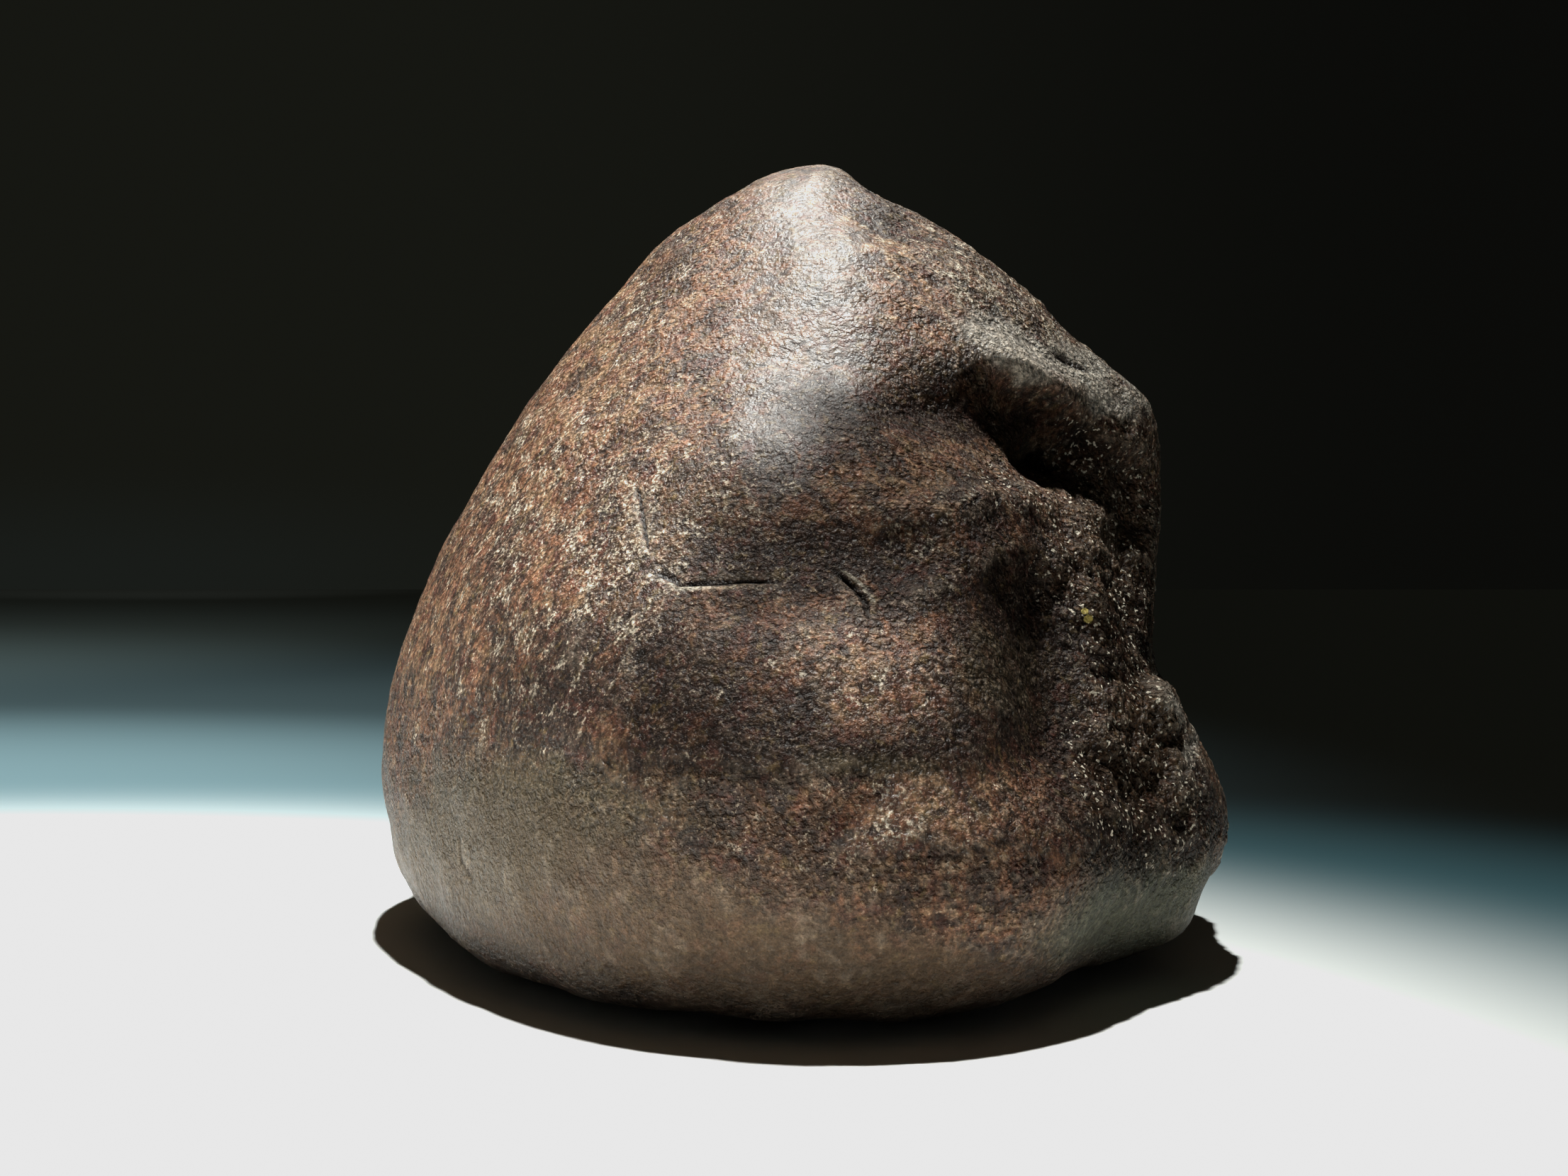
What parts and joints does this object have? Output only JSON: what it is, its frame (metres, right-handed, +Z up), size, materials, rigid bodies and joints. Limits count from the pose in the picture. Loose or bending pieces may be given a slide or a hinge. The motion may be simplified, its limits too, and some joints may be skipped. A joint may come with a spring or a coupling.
{
  "type": "oriented stony meteorite",
  "caption": "Blunt cone-shaped stony meteorite with dark brown fusion crust, a broken hollowed right side with a low knob, and a small flat spot it rests on.",
  "frame": {"origin": "under the middle of the stone's outline, on the plane of the flat spot it rests on", "axes": "+Z up towards the nose of the cone, -Y the side the picture shows, +X the viewer's right, where the shoulder, hollow and knob are"},
  "size_m": [0.0706, 0.085, 0.0646],
  "materials": {
    "fusion_crust": "satin, fine-grained dark brown fusion crust with rust-brown and purple-black patches"
  },
  "bodies": {
    "root": {"meteorite": "fusion_crust"}
  },
  "joints": []
}
